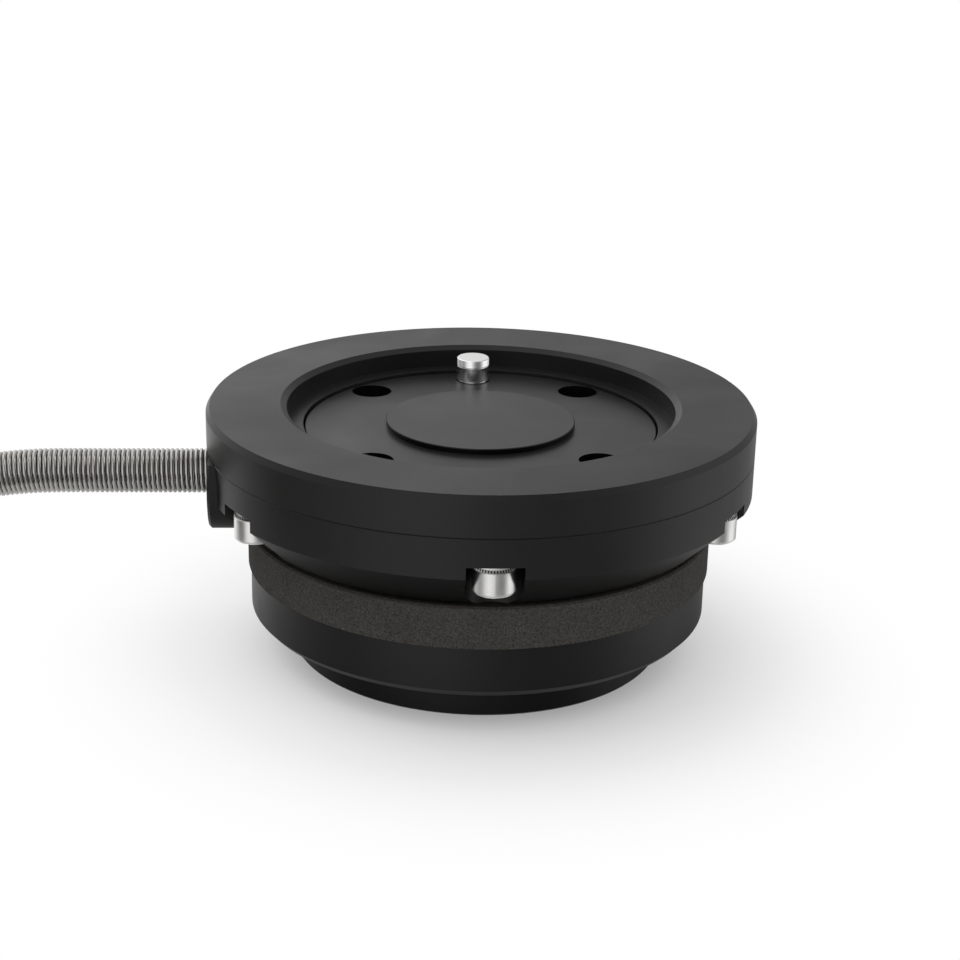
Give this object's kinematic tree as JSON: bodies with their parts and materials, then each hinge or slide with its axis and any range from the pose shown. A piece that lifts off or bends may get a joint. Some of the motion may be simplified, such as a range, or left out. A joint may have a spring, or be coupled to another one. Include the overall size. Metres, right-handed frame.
{
  "type": "force torque sensor",
  "caption": "Round black wrist sensor that measures force and torque between a robot flange and a tool, with a recessed robot side, a foam dust seal and a side-exit armoured lead.",
  "frame": {"origin": "centre of the tool-side face, which is the lowest face, on the sensor's axis", "axes": "+Z along the axis from the tool side to the robot side, +Y towards the robot-side dowel pin, -X the way the conduit leaves"},
  "size_m": [0.2615, 0.1222, 0.0415],
  "materials": {
    "ring_black": "black hard-anodised aluminium, fine satin",
    "plate_black": "black hard-anodised aluminium, fine satin, reflective",
    "flange_black": "black hard-anodised aluminium, fine satin",
    "body_black": "black hard-anodised aluminium, fine satin",
    "block_black": "black anodised aluminium, satin",
    "dowel_steel": "ground and polished hardened steel",
    "pin_steel": "ground steel",
    "screw_steel": "bright stainless steel",
    "washer_steel": "bright stainless spring steel",
    "black_steel": "black oxide steel",
    "inner_screw_steel": "zinc-plated steel",
    "element_metal": "bare milled aluminium",
    "foam": "fine open-cell foam, matt",
    "seal_rubber": "smooth black rubber",
    "board_green": "green glass-fibre circuit board",
    "chip_black": "moulded epoxy, matt",
    "socket_ivory": "moulded nylon",
    "plug_ivory": "moulded nylon",
    "spacer_brass": "turned brass",
    "wire_grey": "jacketed wire bundle",
    "conduit_steel": "bright stainless round-wire armour",
    "sleeve_steel": "nickel-plated brass",
    "lead_plug_black": "moulded black polyurethane",
    "nut_nickel": "nickel-plated brass",
    "insert_black": "moulded nylon",
    "contact_gold": "gold-plated brass"
  },
  "bodies": {
    "root": {"coupling_ring": "ring_black", "coupling_plate": "plate_black", "flange_dowel": "dowel_steel", "plate_pins": "pin_steel", "ring_pin": "pin_steel", "seal_ring": "seal_rubber", "sensor_flange": "flange_black", "ring_screws": "screw_steel", "lock_washers": "washer_steel", "cable_block": "block_black", "block_screws": "black_steel", "clamp_screw": "black_steel", "inner_wires": "wire_grey", "sensing_element": "element_metal", "hub_screws": "inner_screw_steel", "element_screws": "inner_screw_steel", "signal_board": "board_green", "board_chips": "chip_black", "board_socket": "socket_ivory", "wire_plug": "plug_ivory", "board_spacers": "spacer_brass", "board_screws": "inner_screw_steel", "foam_seal": "foam", "tool_body": "body_black", "conduit": "conduit_steel", "conduit_coil": "conduit_steel", "conduit_tail": "conduit_steel", "end_sleeve": "sleeve_steel", "plug_body": "lead_plug_black", "plug_nut": "nut_nickel", "plug_insert": "insert_black", "plug_pins": "contact_gold"}
  },
  "joints": []
}
